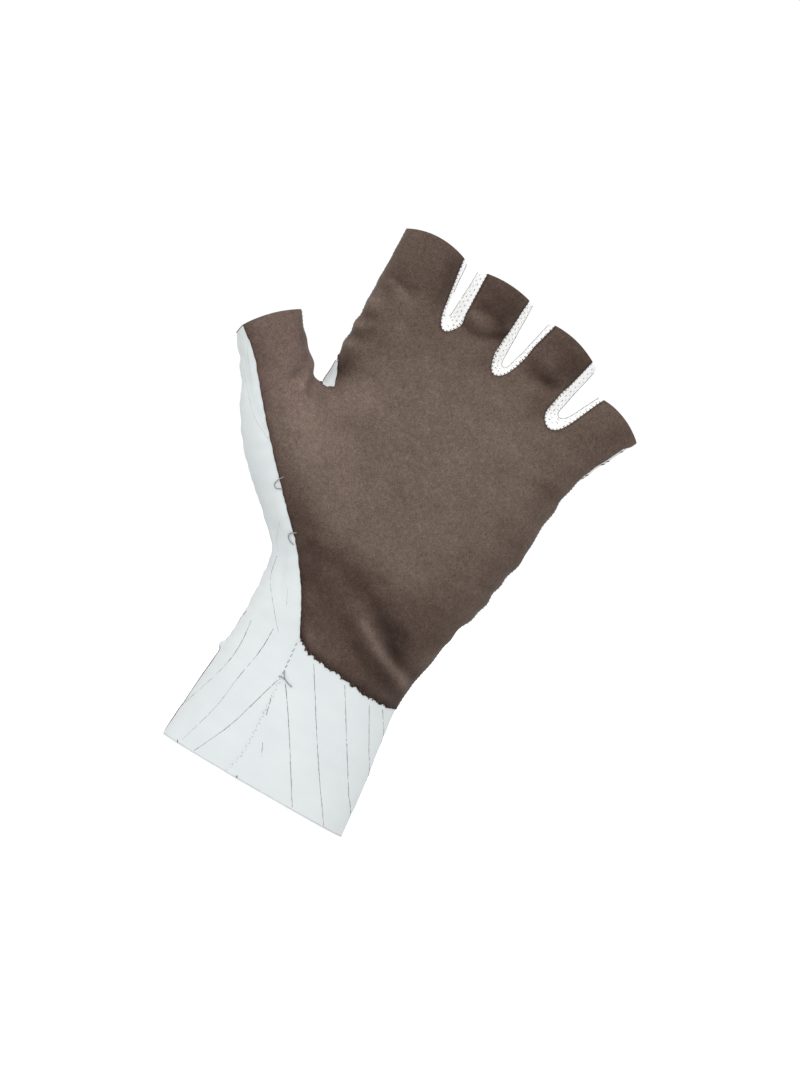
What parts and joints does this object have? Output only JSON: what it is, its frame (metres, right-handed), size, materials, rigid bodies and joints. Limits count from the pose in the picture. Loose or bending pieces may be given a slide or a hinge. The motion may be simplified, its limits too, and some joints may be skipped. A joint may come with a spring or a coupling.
{
  "type": "fingerless cycling glove, left hand",
  "caption": "Fingerless long-cuff cycling glove for a left hand, in its worn shape: brown suede palm, white stretch back and cuff, mesh strips between the fingers.",
  "frame": {"origin": "middle of the opening in the cuff's hem, where the wrist goes in", "axes": "+Z from the cuff's hem to the fingers, the palm faces -Y, the thumb points up and out to -X, +X is the little finger's side"},
  "size_m": [0.1411, 0.0456, 0.1984],
  "materials": {
    "suede_microfibre": "matte brushed nap, taupe brown",
    "white_stretch_knit": "matte stretch knit, white",
    "white_mesh": "matte knit with small round holes, white"
  },
  "bodies": {
    "root": {"palm": "suede_microfibre", "back": "white_stretch_knit", "cuff_front": "white_stretch_knit", "mesh_strip_index_middle": "white_mesh", "mesh_strip_middle_ring": "white_mesh", "mesh_strip_ring_little": "white_mesh"}
  },
  "joints": []
}
